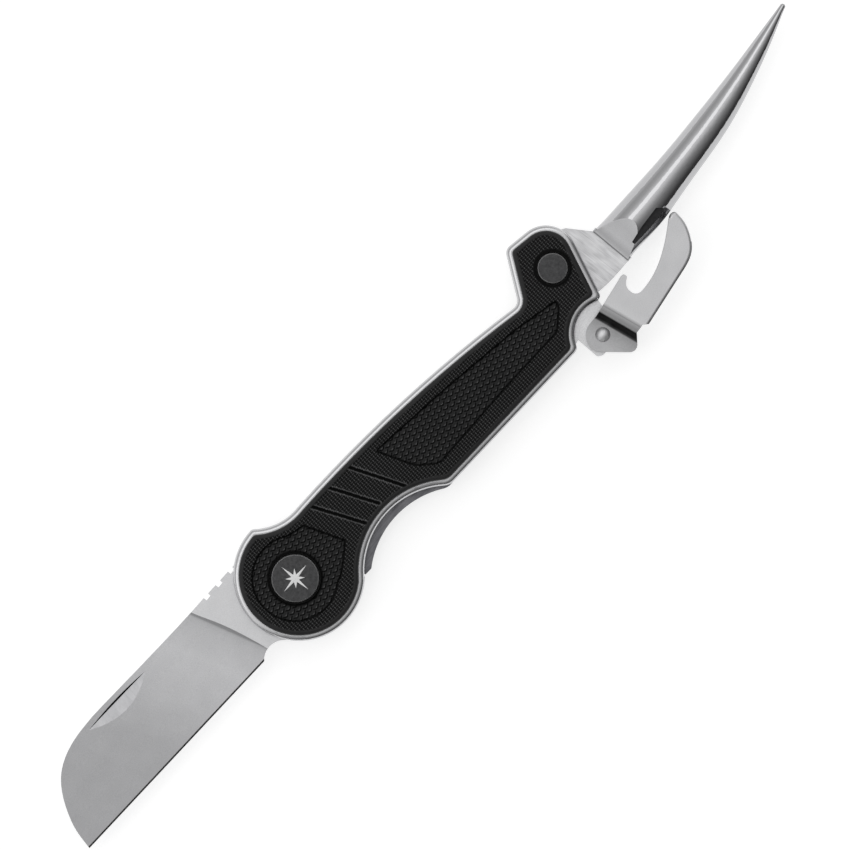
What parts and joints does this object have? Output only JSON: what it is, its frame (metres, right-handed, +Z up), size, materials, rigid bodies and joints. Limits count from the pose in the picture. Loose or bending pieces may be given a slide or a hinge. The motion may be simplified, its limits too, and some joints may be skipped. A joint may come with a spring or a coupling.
{
  "type": "rigging knife",
  "caption": "Folding rigging knife with a sheepsfoot blade, a folding marlin spike, ribbed synthetic handle scales on steel liners, and a shackle on the spike lock lever.",
  "frame": {"origin": "on the outer face of the back scale, on the blade pivot's axis", "axes": "+X from the blade pivot to the spike pivot, +Y to the spine side, +Z up through the handle towards the show side; both tools open at rest"},
  "size_m": [0.2323, 0.039, 0.0124],
  "materials": {
    "scale": "textured",
    "liner": "satin",
    "lock_bar": "satin",
    "ball": "polished",
    "spacer": "satin",
    "pin": "satin",
    "blade": "bead blasted",
    "washer": "satin",
    "cap": "satin",
    "spike": "polished",
    "lever": "satin",
    "spring": "satin",
    "bail": "satin",
    "rivet": "polished",
    "screw": "satin"
  },
  "bodies": {
    "handle": {"front_scale": "scale", "back_scale": "scale", "front_liner": "liner", "back_liner": "liner", "back_spacer": "spacer", "stop_pin": "pin", "blade_washer_front": "washer", "blade_washer_back": "washer", "blade_pivot": "pin", "front_pivot_cap": "cap", "back_pivot_cap": "cap", "spike_washer_front": "washer", "spike_washer_back": "washer", "spike_pivot": "pin", "front_spike_cap": "cap", "back_spike_cap": "cap", "lever_pin": "pin", "lever_spring": "spring", "back_screw_1": "screw", "back_screw_2": "screw", "back_screw_3": "screw"},
    "blade_body": {"blade": "blade"},
    "spike_body": {"spike": "spike"},
    "bar_body": {"lock_bar": "lock_bar", "detent_ball": "ball"},
    "lever_body": {"lock_lever": "lever", "bail_rivet": "rivet"},
    "bail_body": {"bail": "bail"}
  },
  "joints": [
    {"name": "blade_fold", "type": "hinge", "parent": "handle", "child": "blade_body", "pos_m": [0, 0, 0.0062], "axis": [0, 0, 1], "range_deg": [0, 177]},
    {"name": "spike_fold", "type": "hinge", "parent": "handle", "child": "spike_body", "pos_m": [0.0855, 0, 0.0062], "axis": [0, 0, 1], "range_deg": [0, 173.5]},
    {"name": "lock_bar_flex", "type": "hinge", "parent": "handle", "child": "bar_body", "pos_m": [0.048, -0.008, 0.0031], "axis": [0, 1, 0], "range_deg": [-2, 0], "stiffness_Nm_per_rad": 1},
    {"name": "lever_rock", "type": "hinge", "parent": "handle", "child": "lever_body", "pos_m": [0.0754, -0.011, 0.0062], "axis": [0, 0, 1], "range_deg": [-4, 0], "stiffness_Nm_per_rad": 1},
    {"name": "shackle_swing", "type": "hinge", "parent": "lever_body", "child": "bail_body", "pos_m": [0.0815, -0.0172, 0.0062], "axis": [0, 0, 1], "range_deg": [-100, 2]}
  ]
}
